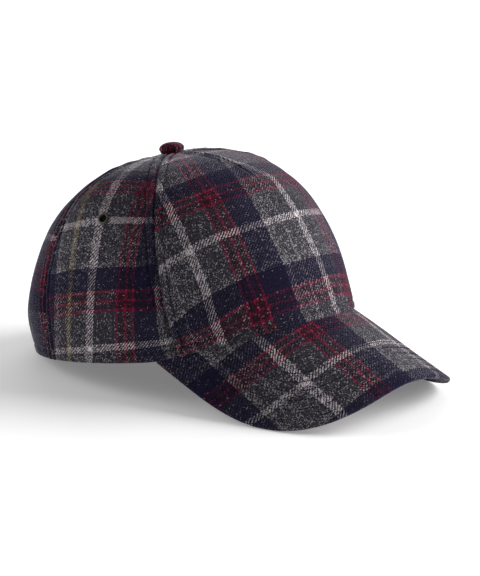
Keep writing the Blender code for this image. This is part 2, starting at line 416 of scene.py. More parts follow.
tartan = {
    "thread": 0.00054,
    "warp": [("white", 10), ("charcoal", 30), ("red", 3), ("maroon", 8), ("red", 3), ("maroon", 8),
             ("red", 3), ("maroon", 1), ("navy", 33), ("silver", 8), ("pepper", 15), ("fine", 3),
             ("pepper", 22)],
    "weft": [("white", 8), ("charcoal", 34), ("red", 3), ("maroon", 7), ("red", 3), ("maroon", 7),
             ("red", 3), ("maroon", 1), ("navy", 23), ("pale", 7), ("pepper", 15), ("faint", 3),
             ("pepper", 22)],
    # base colour of each yarn, and the share of light lengths spun in with it
    "yarns": {
        "white": ((0.50, 0.45, 0.47), 0.0),
        "charcoal": ((0.041, 0.037, 0.048), 0.09),
        "maroon": ((0.028, 0.0070, 0.0150), 0.025),
        "red": ((0.215, 0.0070, 0.037), 0.0),
        "navy": ((0.0105, 0.0085, 0.032), 0.006),
        "silver": ((0.062, 0.058, 0.064), 0.46),
        "pale": ((0.056, 0.053, 0.060), 0.34),
        "pepper": ((0.047, 0.044, 0.054), 0.20),
        "fine": ((0.045, 0.042, 0.047), 0.70),
        "faint": ((0.050, 0.047, 0.053), 0.42),
    },
    "light": (0.47, 0.445, 0.485, 1.0),
    "yellow": (0.19, 0.140, 0.035, 1.0),
    "yellowWidth": 6,
}
tartan["warpRepeat"] = sum(count for _, count in tartan["warp"]) * tartan["thread"]


def setInputs(tree, item, values):
    for key, value in values.items():
        if isinstance(value, bpy.types.NodeSocket):
            tree.links.new(value, item.inputs[key])
        else:
            item.inputs[key].default_value = value


def addNode(tree, kind, values=None, **settings):
    item = tree.nodes.new(kind)
    for key, value in settings.items():
        setattr(item, key, value)
    setInputs(tree, item, values or {})
    return item


def mathNode(tree, operation, *values):
    return addNode(tree, "ShaderNodeMath", dict(enumerate(values)), operation=operation).outputs[0]


def vectorNode(tree, operation, values):
    return addNode(tree, "ShaderNodeVectorMath", values, operation=operation).outputs[0]


def joinXYZ(tree, x, y, z=0.0):
    return addNode(tree, "ShaderNodeCombineXYZ", {"X": x, "Y": y, "Z": z}).outputs[0]


def noiseNode(tree, vector, scale, detail, **more):
    return addNode(tree, "ShaderNodeTexNoise", {"Vector": vector, "Scale": scale, "Detail": detail, **more})


def bumpNode(tree, height, strength, depth):
    values = {"Height": height, "Strength": strength, "Distance": depth}
    return addNode(tree, "ShaderNodeBump", values).outputs[0]


def mixNumbers(tree, factor, first, second):
    return addNode(tree, "ShaderNodeMix", {0: factor, 2: first, 3: second}).outputs[0]


def mixColours(tree, blend, factor, first, second):
    values = {0: factor, 6: first, 7: second}
    return addNode(tree, "ShaderNodeMix", values, data_type="RGBA", blend_type=blend).outputs[2]


def shaded(tree, colour, level):
    grey = addNode(tree, "ShaderNodeCombineColor", {"Red": level, "Green": level, "Blue": level}).outputs[0]
    return mixColours(tree, "MULTIPLY", 1.0, colour, grey)


def newMaterial(name):
    material = bpy.data.materials.new(name)
    material.use_nodes = True
    return material, material.node_tree, material.node_tree.nodes["Principled BSDF"]


def stripeRamp(tree, position, stripes):
    # one constant step for each stripe; the ramp's alpha carries the share of light lengths
    ramp = addNode(tree, "ShaderNodeValToRGB", {"Fac": position})
    ramp.color_ramp.interpolation = "CONSTANT"
    total = sum(count for _, count in stripes)
    start = 0
    for index, (name, count) in enumerate(stripes):
        colour, density = tartan["yarns"][name]
        if index == 0:
            step = ramp.color_ramp.elements[0]
            ramp.color_ramp.elements.remove(ramp.color_ramp.elements[1])
        else:
            step = ramp.color_ramp.elements.new(start / total)
        step.position = start / total
        step.color = (*colour, density)
        start += count
    return ramp.outputs["Color"], ramp.outputs["Alpha"]


yarn = {
    "lightLength": 0.0009,
    "lightLow": 0.25,
    "lightSpread": 0.65,
    "streak": 0.70,
    "dyedStreak": 0.22,
    "cover": 0.30,
    "coverMargin": 0.004,
    # painted shade: the colour between thread crests is multiplied by this grey
    "paintedGapShade": (0.55, 0.55, 0.55, 1.0),
    "gapEdge": 0.06,  # distances across a thread, where half its width is 0.5
    "crestEdge": 0.28,
    "coverGap": 0.06,
    "coverCrest": 0.10,
    "wobbleFine": 0.00048,
    "wobbleFineScale": 420.0,
    "wobbleBroad": 0.0009,
    "wobbleBroadScale": 45.0,
    "fuzzScale": 1500.0,
    "fuzzColour": (0.20, 0.19, 0.21, 1.0),
    "fuzzAmount": 0.05,
    "fuzzHeight": 0.8,
    "cloud": 0.22,
    "cloudScale": 140.0,
    "roughness": 0.95,
    "specular": 0.02,
    "sheen": 0.58,
    "sheenRoughness": 0.19,
    "sheenTint": (0.80, 0.78, 0.90, 1.0),
    "bump": 0.7,
    "bumpDepth": 0.00022,
}


def yarnColour(tree, number, along, stripes, yellow=False):
    # colour of one set of threads and its share of light lengths; along is the distance down a thread
    total = sum(count for _, count in stripes)
    repeats = mathNode(tree, "DIVIDE", mathNode(tree, "ADD", number, stripes[0][1] / 2 + 0.5), total)
    position = mathNode(tree, "FRACT", repeats)
    colour, lightShare = stripeRamp(tree, position, stripes)
    if yellow:  # one fine stripe in three is dyed
        before = [name for name, _ in stripes].index("fine")
        heart = (sum(count for _, count in stripes[:before]) + stripes[before][1] / 2) / total
        inside = mathNode(tree, "COMPARE", position, heart, tartan["yellowWidth"] / total / 2)
        third = mathNode(tree, "FLOORED_MODULO", mathNode(tree, "FLOOR", repeats), 3.0)
        dyed = mathNode(tree, "MULTIPLY", inside, mathNode(tree, "GREATER_THAN", third, 1.5))
        colour = mixColours(tree, "MIX", dyed, colour, tartan["yellow"])
    # each thread is spun from short lengths, some of them light
    offset = addNode(tree, "ShaderNodeTexWhiteNoise", {"W": number}, noise_dimensions="1D").outputs["Value"]
    run = mathNode(tree, "ADD", mathNode(tree, "DIVIDE", along, yarn["lightLength"]), offset)
    spot = joinXYZ(tree, number, mathNode(tree, "FLOOR", run))
    chance = addNode(tree, "ShaderNodeTexWhiteNoise", {"Vector": spot}, noise_dimensions="2D")
    chance = addNode(tree, "ShaderNodeSeparateColor", {"Color": chance.outputs["Color"]})
    lit = mathNode(tree, "LESS_THAN", chance.outputs[0], lightShare)
    bright = mathNode(tree, "MULTIPLY_ADD", chance.outputs[1], yarn["lightSpread"], yarn["lightLow"])
    light = mathNode(tree, "MULTIPLY", lit, bright)
    # white and red have no light lengths and take the dye the most unevenly
    dyedYarn = mathNode(tree, "LESS_THAN", lightShare, 0.002)
    uneven = mathNode(tree, "MULTIPLY_ADD", dyedYarn, yarn["dyedStreak"], yarn["streak"])
    level = mathNode(tree, "MULTIPLY", mathNode(tree, "SUBTRACT", chance.outputs[2], 0.5), uneven)
    streaked = shaded(tree, colour, mathNode(tree, "MULTIPLY_ADD", level, 2.0, 1.0))
    return mixColours(tree, "MIX", light, streaked, tartan["light"]), lightShare


def wanderingThreads(tree, uv):
    # where a point lies on the cloth, once its threads have wandered a little from their lines
    place = uv
    for size, scale in (("wobbleFine", "wobbleFineScale"), ("wobbleBroad", "wobbleBroadScale")):
        noise = noiseNode(tree, uv, yarn[scale], 1.0).outputs["Color"]
        centred = vectorNode(tree, "SUBTRACT", {0: noise, 1: (0.5, 0.5, 0.5)})
        moved = vectorNode(tree, "SCALE", {0: centred, "Scale": yarn[size] * 2})
        place = vectorNode(tree, "ADD", {0: place, 1: moved})
    parts = addNode(tree, "ShaderNodeSeparateXYZ", {0: place})
    return parts.outputs[0], parts.outputs[1]


def wovenColour(tree, warpAt, weftAt):
    # colour of the woven cloth, with painted shade between the threads' crests, and how far a point lies from
    # the edge of the thread on top
    warpCount = mathNode(tree, "DIVIDE", warpAt, tartan["thread"])
    weftCount = mathNode(tree, "DIVIDE", weftAt, tartan["thread"])
    warpThread = mathNode(tree, "FLOOR", warpCount)
    weftThread = mathNode(tree, "FLOOR", weftCount)
    warpColour, warpShare = yarnColour(tree, warpThread, weftAt, tartan["warp"], True)
    weftColour, weftShare = yarnColour(tree, weftThread, warpAt, tartan["weft"])
    # two-and-two twill: each thread passes over two and under two, one further along on each row
    diagonal = mathNode(tree, "FLOORED_MODULO", mathNode(tree, "SUBTRACT", warpThread, weftThread), 4.0)
    warpOnTop = mathNode(tree, "LESS_THAN", diagonal, 1.5)
    acrossWarp = mathNode(tree, "PINGPONG", warpCount, 0.5)
    acrossWeft = mathNode(tree, "PINGPONG", weftCount, 0.5)
    onTop = mixNumbers(tree, warpOnTop, acrossWeft, acrossWarp)
    # navy is the woollier yarn: its hairs close over a thread that crosses it, and they narrow the crest so
    # more of the painted shade between crests shows
    below = mixNumbers(tree, warpOnTop, warpShare, weftShare)
    woolly = mathNode(tree, "COMPARE", below, tartan["yarns"]["navy"][1], yarn["coverMargin"])
    crest = addNode(tree, "ShaderNodeMapRange", {
        "Value": onTop,
        "From Min": mathNode(tree, "MULTIPLY_ADD", woolly, yarn["coverGap"], yarn["gapEdge"]),
        "From Max": mathNode(tree, "MULTIPLY_ADD", woolly, yarn["coverCrest"], yarn["crestEdge"]),
    }, interpolation_type="SMOOTHSTEP").outputs[0]
    topColour = mixColours(tree, "MIX", warpOnTop, weftColour, warpColour)
    lowColour = mixColours(tree, "MIX", warpOnTop, warpColour, weftColour)
    covered = mathNode(tree, "MULTIPLY", woolly, yarn["cover"])
    topColour = mixColours(tree, "MIX", covered, topColour, lowColour)
    # between the threads' crests the darker of the two shows, darkened further by paintedGapShade as painted
    # shade in the hollows between the round threads
    darker = mixColours(tree, "DARKEN", 1.0, warpColour, weftColour)
    gap = mixColours(tree, "MULTIPLY", 1.0, darker, yarn["paintedGapShade"])
    return mixColours(tree, "MIX", crest, gap, topColour), onTop


def tartanMaterial():
    material, tree, shader = newMaterial("tartan_wool_brushed")
    uv = addNode(tree, "ShaderNodeUVMap", uv_map="cloth").outputs[0]
    woven, onTop = wovenColour(tree, *wanderingThreads(tree, uv))
    fuzz = noiseNode(tree, uv, yarn["fuzzScale"], 3.0, Roughness=0.7, Distortion=1.5).outputs["Fac"]
    hairs = mathNode(tree, "MULTIPLY", mathNode(tree, "POWER", fuzz, 2.0), yarn["fuzzAmount"] * 2)
    brushed = mixColours(tree, "MIX", hairs, woven, yarn["fuzzColour"])
    cloud = noiseNode(tree, uv, yarn["cloudScale"], 3.0).outputs["Fac"]
    level = mathNode(tree, "MULTIPLY_ADD", cloud, yarn["cloud"] * 2, 1 - yarn["cloud"])
    height = mathNode(tree, "MULTIPLY_ADD", fuzz, yarn["fuzzHeight"], onTop)
    setInputs(tree, shader, {
        "Base Color": shaded(tree, brushed, level),
        "Normal": bumpNode(tree, height, yarn["bump"], yarn["bumpDepth"]),
        "Roughness": yarn["roughness"],
        "Specular IOR Level": yarn["specular"],
        "Sheen Weight": yarn["sheen"],
        "Sheen Roughness": yarn["sheenRoughness"],
        "Sheen Tint": yarn["sheenTint"],
    })
    return material


thread = {
    "radius": 0.00021,
    "length": 0.0023,
    "peakLength": 0.0025,
    "pitch": 0.0029,
    "arch": 0.7,  # share of the radius
    "slant": 0.10,
}

finishes = {
    "dark_sewing_thread": {
        "grainScale": 5200.0,
        "grainDetail": 2.0,
        "dark": (0.004, 0.0038, 0.007, 1.0),
        "light": (0.012, 0.0115, 0.018, 1.0),
        "roughness": 0.85,
        "specular": 0.08,
        "bump": 0.5,
        "bumpDepth": 0.00005,
    },
    "blackened_brass": {
        "grainScale": 900.0,
        "grainDetail": 4.0,
        "dark": (0.020, 0.019, 0.018, 1.0),
        "light": (0.11, 0.10, 0.085, 1.0),
        "metallic": 0.9,
        "roughness": 0.22,
        "wornRoughness": 0.3,
        "bump": 0.3,
        "bumpDepth": 0.00008,
    },
    # painted shade: near-black colour for the eyelet bore's wall, standing in for the shade inside the hole
    "bore_painted_shade": {
        "grainScale": 1500.0,
        "grainDetail": 2.0,
        "dark": (0.002, 0.002, 0.002, 1.0),
        "light": (0.008, 0.008, 0.008, 1.0),
        "roughness": 0.7,
        "specular": 0.1,
    },
}


def grainedMaterial(name):
    finish = finishes[name]
    material, tree, shader = newMaterial(name)
    place = addNode(tree, "ShaderNodeTexCoord").outputs["Object"]
    grain = noiseNode(tree, place, finish["grainScale"], finish["grainDetail"]).outputs["Fac"]
    values = {"Base Color": mixColours(tree, "MIX", grain, finish["dark"], finish["light"]),
              "Roughness": finish["roughness"]}
    if "wornRoughness" in finish:
        rough = mathNode(tree, "MULTIPLY_ADD", grain, finish["wornRoughness"], finish["roughness"])
        values["Roughness"] = rough
    for key, socket in (("metallic", "Metallic"), ("specular", "Specular IOR Level")):
        if key in finish:
            values[socket] = finish[key]
    if "bump" in finish:
        values["Normal"] = bumpNode(tree, grain, finish["bump"], finish["bumpDepth"])
    setInputs(tree, shader, values)
    return material


# Panels

def panelPlace(spec, share):
    # angle and climb of a panel's columns at a share of the way up, between its two seams
    across = crowded(spec["columns"], spec["crowd"])[None, :]
    first, last = (seamAngle(edge, share) for edge in spec["edges"])
    rough = topOpening(first + (last - first) * across) * share ** crown["rowCrowding"]
    x, y, _ = planPoint(first + (last - first) * across, rough)
    press = cloth["seamOverlap"] / np.hypot(x, y)
    angle = first - press + (last - first + 2 * press) * across
    return angle, topOpening(angle) * share ** crown["rowCrowding"]


def runUp(points):
    steps = np.linalg.norm(np.diff(points, axis=0), axis=-1)
    return np.concatenate([np.zeros((1, points.shape[1])), np.cumsum(steps, axis=0)])


def runBeside(points):
    steps = np.linalg.norm(np.diff(points, axis=1), axis=-1)
    return np.concatenate([np.zeros((len(points), 1)), np.cumsum(steps, axis=1)], axis=1)


def panelGrid(name):
    # every column climbs in even steps from its own point of the hem to the crown's top
    spec = panels[name]
    hemRadius = cloth["wall"] / 2
    trial = np.linspace(0, 1, cloth["trialRows"])[:, None] ** 2
    run = runUp(crownPoint(*panelPlace(spec, trial)))
    up = hemRadius + (run[-1] - hemRadius) * crowded(cloth["rows"], cloth["rowCrowd"])[:, None]
    columns = range(run.shape[1])
    share = np.stack([np.interp(up[:, column], run[:, column], trial[:, 0]) for column in columns], -1)
    angle, climb = panelPlace(spec, share)

    # the cloth is laid out on level rows, measured up the panel's middle line
    middle = math.radians(spec["middle"])
    middleClimb = topOpening(np.array([middle])) * trial ** crown["rowCrowding"]
    middleRun = runUp(crownPoint(np.full_like(trial, middle), middleClimb))[:, 0]
    length = hemRadius + (middleRun[-1] - hemRadius) * crowded(cloth["rows"], cloth["rowCrowd"])
    level = np.interp(length, middleRun, trial[:, 0])
    levelAngle, levelClimb = panelPlace(spec, level[:, None])
    levelU, levelV = flatten(levelAngle, crownPoint(levelAngle, levelClimb), levelClimb, length, middle)
    u = np.stack([np.interp(share[:, column], level, levelU[:, column]) for column in columns], -1)
    v = np.stack([np.interp(share[:, column], level, levelV[:, column]) for column in columns], -1)
    lowest = np.array([np.interp(level[0], trial[:, 0], run[:, column]) for column in columns])
    return angle, climb, share, up, u, v - np.maximum(lowest - up, 0)


def flatten(angle, points, climb, length, middle):
    # unrolls a panel like a strip of cone: u along the hem from its middle line, v up that line
    along = runBeside(points)
    centre = np.array([np.interp(middle, angle[row], along[row]) for row in range(len(points))])
    centreClimb = np.array([np.interp(middle, angle[row], climb[row]) for row in range(len(points))])
    beside = along - centre[:, None]
    step = 0.001
    turn = crownPoint(np.full(len(points), middle + step), centreClimb)
    turn = turn - crownPoint(np.full(len(points), middle - step), centreClimb)
    radius = np.linalg.norm(turn, axis=1) / (2 * step)
    curl = -np.gradient(radius, length) / np.maximum(radius, 0.001)
    window = 7
    curl = np.convolve(np.pad(curl, window // 2, mode="edge"), np.ones(window) / window, "valid")[:, None]
    swing = curl * beside
    straight = np.abs(swing) < 1e-6
    safe = np.where(straight, 1.0, curl)
    u = np.where(straight, beside, np.sin(swing) / safe)
    v = length[:, None] + np.where(straight, swing * beside / 2, (1 - np.cos(swing)) / safe)
    return u, v


def panelRelief(name, angle, climb, along, up, share, u, v):
    # how far the cloth stands proud of the smooth crown, outwards
    phase = panels[name]["middle"] / 50
    near = np.minimum(along, along[:, -1:] - along)
    topFade = np.sqrt(np.sin(math.pi * np.clip(share, 0, 1)))
    across = np.linspace(-1, 1, along.shape[1])
    relief = -cloth["pillow"] * across ** 4 * topFade
    relief -= cloth["groove"] * bell(near, cloth["grooveWidth"])
    ridge = fadeIn(near, cloth["ridgeStart"]) * fadeIn(cloth["stitchOffset"] - near, cloth["ridgeEnd"])
    relief += cloth["allowance"] * ridge
    beat = 1 - cloth["dipBeat"] + cloth["dipBeat"] * np.cos(2 * math.pi * up / thread["pitch"])
    relief -= cloth["stitchDip"] * beat * bell(near - cloth["stitchOffset"], cloth["dipWidth"])
    ripple = np.sin(up / cloth["puckerStep"] + 2.2 * np.sin(up / cloth["puckerDrift"] + phase))
    ripple = ripple * np.exp(-near / cloth["puckerRun"]) * fadeIn(near, cloth["puckerStart"])
    relief += cloth["pucker"] * ripple
    relief += cloth["hemRidge"] * fadeIn(cloth["hemTurn"] - up, cloth["ridgeEnd"])
    relief -= cloth["stitchDip"] * bell(up - cloth["hemTurn"], cloth["dipWidth"])
    relief += cloth["waves"] * softWaves(u, v, phase) * fadeIn(up, cloth["waveStart"]) * topFade
    if name == "front_panel":
        fade = fadeIn(climb - dart["end"], dart["fade"])
        x, y, _ = planPoint(angle, climb)
        beside = np.abs(angle) * np.hypot(x, y)
        ridge = fadeIn(beside, dart["ridgeStart"]) * fadeIn(dart["ridgeReach"] - beside, dart["ridgeFall"])
        relief += fade * (dart["ridge"] * ridge - dart["depth"] * bell(beside, dart["width"]))
    return relief


def makePanel(name, place):
    angle, climb, share, up, u, v = panelGrid(name)
    smoothForm = crownPoint(angle, climb)
    along = runBeside(smoothForm)
    normal = crownNormal(angle, climb)
    relief = panelRelief(name, angle, climb, along, up, share, u, v)
    outside = smoothForm + normal * relief[..., None]
    inside = smoothForm + normal * (np.minimum(relief, 0) - cloth["wall"])[..., None]
    uv = clothOnPanel(name, u, v)

    # the hem is folded: a half round from the outside to the inside
    upward = unit(outside[1] - outside[0])
    radius = np.linalg.norm(outside[0] - inside[0], axis=1)[:, None] / 2
    outward = unit(outside[0] - inside[0])
    heart = (outside[0] + inside[0]) / 2
    turns = [math.pi * step / cloth["foldSteps"] for step in range(cloth["foldSteps"] - 1, 0, -1)]
    fold = [heart + radius * (outward * math.cos(turn) - upward * math.sin(turn)) for turn in turns]
    rows = np.concatenate([outside, inside[::-1], np.array(fold)])
    foldUV = [uv[0] - np.array([0, cloth["wall"] * math.sin(turn)]) for turn in turns]
    rowsUV = np.concatenate([uv, uv[::-1], np.array(foldUV)])

    count, columns = rows.shape[:2]
    faces = gridFaces(count, columns, True, False)
    layers = len(outside)
    lastInside = 2 * layers - 1
    closeEnds(faces, columns, layers, lastInside, [0, *range(lastInside, count)], (False, True))
    piece = makeMesh(name + "_cloth", rows, faces, place)
    writeUV(piece, rowsUV)
    return piece, {"outside": outside, "normal": normal, "up": up, "along": along}


# Peak

def peakOutline(across):
    amount = np.abs(across)
    side = np.where(across < 0, -1.0, 1.0)
    halfWidth = cornerX + peak["sideFlare"]
    shoulderY = cornerY - peak["shoulderRun"]
    along = (amount - peak["shoulderShare"]) / (1 - peak["shoulderShare"])
    turn = math.pi / 2 * (1 - np.clip(amount / peak["shoulderShare"], 0, 1))
    tip = frontY - peak["length"] - shoulderY
    beyond = amount > peak["shoulderShare"]
    x = np.where(beyond, halfWidth - peak["sideFlare"] * along ** 2,
                 halfWidth * np.cos(turn) ** (2 / peak["outlinePower"]))
    y = np.where(beyond, shoulderY + (cornerY - shoulderY) * along,
                 shoulderY + tip * np.sin(turn) ** (2 / peak["outlinePower"]))
    return side * x, y


archSteps = np.linspace(-0.1, 0.1, 4001)
archRun = np.concatenate([[0], np.cumsum(np.hypot(1, archFall(archSteps)[1][:-1] * math.cos(peak["slope"]))
                                         * np.diff(archSteps))])
archRun = archRun - np.interp(0, archSteps, archRun)
frontLine = frontY * math.cos(peak["slope"]) + float(peakTop(0.0, frontY)) * math.sin(peak["slope"])


def flatPeak(x, y):  # the peak's board is a flat sheet bent one way, so it unrolls exactly
    forward = y * math.cos(peak["slope"]) + peakTop(x, y) * math.sin(peak["slope"]) - frontLine
    return np.stack([np.interp(x, archSteps, archRun), forward], -1)


def bentPeak(flat):  # from the unrolled sheet back to plan
    x = np.interp(flat[..., 0], archRun, archSteps)
    level = peakTop(x, 0.0)
    y = (flat[..., 1] + frontLine - level * math.sin(peak["slope"])) * math.cos(peak["slope"])
    return x, y


def peakNormal(x):
    steep = np.copysign(archFall(x)[1], x)
    return unit(np.stack([steep, np.full_like(x, -math.tan(peak["slope"])), np.ones_like(x)], -1))


def edgeDistance(flat, outline):
    distance = np.empty(flat.shape[:-1])
    for row in range(len(flat)):
        gaps = flat[row][:, None, :] - outline[None, :, :]
        distance[row] = np.sqrt((gaps ** 2).sum(-1)).min(1)
    return distance


def onTop(x, y):
    return np.stack([x, y, peakTop(x, y)], -1)


def makePeak(place):
    across = np.linspace(-1, 1, peak["columns"] + 1)
    angle = peak["cornerAngle"] * across * (1 + peak["fan"] * (1 - np.abs(across)))
    hemX, hemY, _ = planPoint(angle, np.zeros_like(angle))
    outward = crownNormal(angle, np.zeros_like(angle))
    inward = unit(outward * np.array([1, 1, 0])) * -peak["tuckIn"]
    startX, startY = hemX + inward[:, 0], hemY + inward[:, 1]
    endX, endY = peakOutline(across)
    radius = peak["thickness"] / 2
    width = np.linalg.norm(onTop(endX, endY) - onTop(startX, startY), axis=1)
    reach = np.maximum(0.2, 1 - radius / width)
    share = reach[None, :] * np.linspace(0, 1, peak["rows"] + 1)[:, None]
    x = startX + (endX - startX) * share
    y = startY + (endY - startY) * share
    flat = flatPeak(x, y)

    # each row of stitches lies in a shallow dip, an even distance in from the outline
    outline = flatPeak(*peakOutline(np.linspace(-0.999, 0.999, 700)))
    rowsIn = edgeDistance(flat, outline) / peak["stitchGap"]
    nearest = np.round(rowsIn)
    dip = bell((rowsIn - nearest) * peak["stitchGap"], peak["dipWidth"])
    dip = dip * ((nearest >= 1) & (nearest <= peak["stitchRows"]))
    waves = peak["waves"] * softWaves(flat[..., 0], flat[..., 1], peak["wavePhase"])
    normal = peakNormal(x)
    upper = onTop(x, y) + normal * (waves - peak["stitchDip"] * dip)[..., None]
    lower = onTop(x, y) - normal * (peak["thickness"] - peak["stitchDip"] * dip)[..., None]

    edgeNormal = peakNormal(x[-1])
    tangent = onTop(endX, endY) - onTop(x[-1], y[-1])
    tangent = unit(tangent - edgeNormal * (tangent * edgeNormal).sum(-1, keepdims=True))
    heart = (upper[-1] + lower[-1]) / 2
    half = np.linalg.norm(upper[-1] - lower[-1], axis=1)[:, None] / 2
    turns = [math.pi * step / peak["rimSteps"] for step in range(1, peak["rimSteps"])]
    rim = [heart + half * (edgeNormal * math.cos(turn) + tangent * math.sin(turn)) for turn in turns]
    rows = np.concatenate([upper, np.array(rim), lower[::-1]])
    rimFlat = [flat[-1] + unit(flat[-1] - flat[-2]) * radius * turn for turn in turns]
    underFlat = flat + np.array(peak["underShift"])
    rowsFlat = np.concatenate([flat, np.array(rimFlat), underFlat[::-1]])

    count, columns = rows.shape[:2]
    faces = [face[::-1] for face in gridFaces(count, columns, True, False)]
    layers = len(upper)
    closeEnds(faces, columns, layers, count - 1, range(layers - 1, count - layers + 1), (True, False))
    piece = makeMesh("peak_cloth", rows, faces, place)
    writeUV(piece, clothOnPeak(rowsFlat))
    return piece


def peakStitchPaths():
    outline = flatPeak(*peakOutline(np.linspace(-0.999, 0.999, 1400)))
    heading = unit(np.gradient(outline, axis=0))
    inward = np.stack([-heading[:, 1], heading[:, 0]], -1)
    tip = len(outline) // 2
    if inward[tip][1] < 0:
        inward = -inward
    paths = []
    for row in range(1, peak["stitchRows"] + 1):
        offset = row * peak["stitchGap"]
        line = outline + inward * offset
        gaps = np.sqrt(((line[:, None, :] - outline[None, ::4, :]) ** 2).sum(-1)).min(1)
        x, y = bentPeak(line)
        bearing = np.arctan2(x / crown["side"]["reach"], -y / crown["front"]["reach"])
        hemX, hemY, _ = planPoint(bearing, np.zeros_like(bearing))
        clear = np.hypot(x, y) - np.hypot(hemX, hemY)
        keep = (gaps > offset * 0.97) & (clear > 0.0015)
        x, y = x[keep], y[keep]
        normal = peakNormal(x)
        paths.append((onTop(x, y) - normal * peak["stitchDip"] * peak["stitchSink"], normal))
    return paths


# Stitches: one short arched thread at each point, laid along its row

def pointsAt(at, run, points):
    return np.stack([np.interp(at, run, points[:, axis]) for axis in range(3)], -1)


def resample(points, normals, pitch):
    run = np.concatenate([[0], np.cumsum(np.linalg.norm(np.diff(points, axis=0), axis=1))])
    at = np.arange(pitch / 2, run[-1], pitch)
    spots = pointsAt(at, run, points)
    ahead = pointsAt(at + pitch / 4, run, points)
    return spots, unit(ahead - spots), unit(pointsAt(at, run, normals))


def stitchTree(material):
    tree = bpy.data.node_groups.new("stitches_along_rows", "GeometryNodeTree")
    face = tree.interface
    face.new_socket("Geometry", in_out="INPUT", socket_type="NodeSocketGeometry")
    for name, value in (("Stitch Length", thread["length"]), ("Thread Radius", thread["radius"]),
                        ("Arch", thread["radius"] * thread["arch"]), ("Slant", thread["slant"])):
        socket = face.new_socket(name, in_out="INPUT", socket_type="NodeSocketFloat")
        socket.default_value = value
    seed = face.new_socket("Seed", in_out="INPUT", socket_type="NodeSocketInt")
    seed.default_value = 7
    face.new_socket("Geometry", in_out="OUTPUT", socket_type="NodeSocketGeometry")
    given = addNode(tree, "NodeGroupInput").outputs

    # one thread: a short arch whose ends dip into the cloth
    half = mathNode(tree, "MULTIPLY", given["Stitch Length"], 0.5)
    back = mathNode(tree, "MULTIPLY", half, -1.0)
    deep = mathNode(tree, "MULTIPLY", given["Thread Radius"], -1.3)
    arch = addNode(tree, "GeometryNodeCurveQuadraticBezier", {
        "Resolution": 6, "Start": joinXYZ(tree, back, 0.0, deep), "End": joinXYZ(tree, half, 0.0, deep),
        "Middle": joinXYZ(tree, 0.0, 0.0, mathNode(tree, "MULTIPLY", given["Arch"], 2.4))})
    ring = addNode(tree, "GeometryNodeCurvePrimitiveCircle", {
        "Resolution": 6, "Radius": given["Thread Radius"]})
    tube = addNode(tree, "GeometryNodeCurveToMesh", {
        "Curve": arch.outputs[0], "Profile Curve": ring.outputs[0], "Fill Caps": True})

    # each is stood on the cloth, turned along its row and slanted a little at random
    along, facing = (addNode(tree, "GeometryNodeInputNamedAttribute", {"Name": name},
                             data_type="FLOAT_VECTOR").outputs[0] for name in ("along", "facing"))
    upright = addNode(tree, "FunctionNodeAlignRotationToVector", {"Vector": facing}, axis="Z")
    turned = addNode(tree, "FunctionNodeAlignRotationToVector",
                     {"Rotation": upright.outputs[0], "Vector": along}, axis="X", pivot_axis="Z")
    slant = addNode(tree, "FunctionNodeRandomValue", {
        "Seed": given["Seed"], 2: mathNode(tree, "MULTIPLY", given["Slant"], -1.0), 3: given["Slant"]},
        data_type="FLOAT")
    spin = addNode(tree, "FunctionNodeEulerToRotation", {0: joinXYZ(tree, 0.0, 0.0, slant.outputs[1])})
    rotation = addNode(tree, "FunctionNodeRotateRotation",
                       {"Rotation": turned.outputs[0], "Rotate By": spin.outputs[0]}, rotation_space="LOCAL")
    placed = addNode(tree, "GeometryNodeInstanceOnPoints", {
        "Points": given["Geometry"], "Instance": tube.outputs[0], "Rotation": rotation.outputs[0]})
    real = addNode(tree, "GeometryNodeRealizeInstances", {0: placed.outputs[0]})
    dressed = addNode(tree, "GeometryNodeSetMaterial", {0: real.outputs[0], "Material": material})
    addNode(tree, "NodeGroupOutput", {0: dressed.outputs[0]})
    return tree


def bakeNodes(piece, tree, values):
    # inputs are set by their identifiers before the piece is first evaluated
    modifier = piece.modifiers.new("Rows", "NODES")
    modifier.node_group = tree
    for item in tree.interface.items_tree:
        if item.item_type == "SOCKET" and item.in_out == "INPUT" and item.name in values:
            modifier[item.identifier] = values[item.name]
    bakeModifier(piece, modifier)
    piece.data.shade_smooth()


def makeStitches(name, rows, place, tree, values):
    turn = np.array(place)[:3, :3]
    shift = np.array(place)[:3, 3]
    sets = [resample(points, normals, thread["pitch"]) for points, normals in rows]
    spots, along, facing = (np.concatenate([part[index] for part in sets]) for index in range(3))
    mesh = bpy.data.meshes.new(name)
    mesh.from_pydata((spots @ turn.T + shift).tolist(), [], [])
    for label, vectors in (("along", along), ("facing", facing)):
        attribute = mesh.attributes.new(label, "FLOAT_VECTOR", "POINT")
        attribute.data.foreach_set("vector", (vectors @ turn.T).astype(np.float32).ravel())
    piece = linkPiece(name, mesh)
    bakeNodes(piece, tree, values)
    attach(piece, "root")


def rowBesideSeam(panel, last, offset, fromRow):
    # a row of stitches a fixed distance in from one of a panel's seams
    points = []
    normals = []
    for row in range(fromRow, len(panel["outside"])):
        along = panel["along"][row]
        if along[-1] < 2.6 * offset:
            break
        at = along[-1] - offset if last else offset
        points.append(pointsAt(at, along, panel["outside"][row]))
        normals.append(pointsAt(at, along, panel["normal"][row]))
    return np.array(points), np.array(normals)


def rowAboveHem(panel, offset):
    points = [pointsAt(offset, panel["up"][:, column], panel["outside"][:, column])
              for column in range(panel["up"].shape[1])]
    return np.array(points), panel["normal"][int(np.argmin(np.abs(panel["up"][:, 0] - offset)))]


# Turned pieces

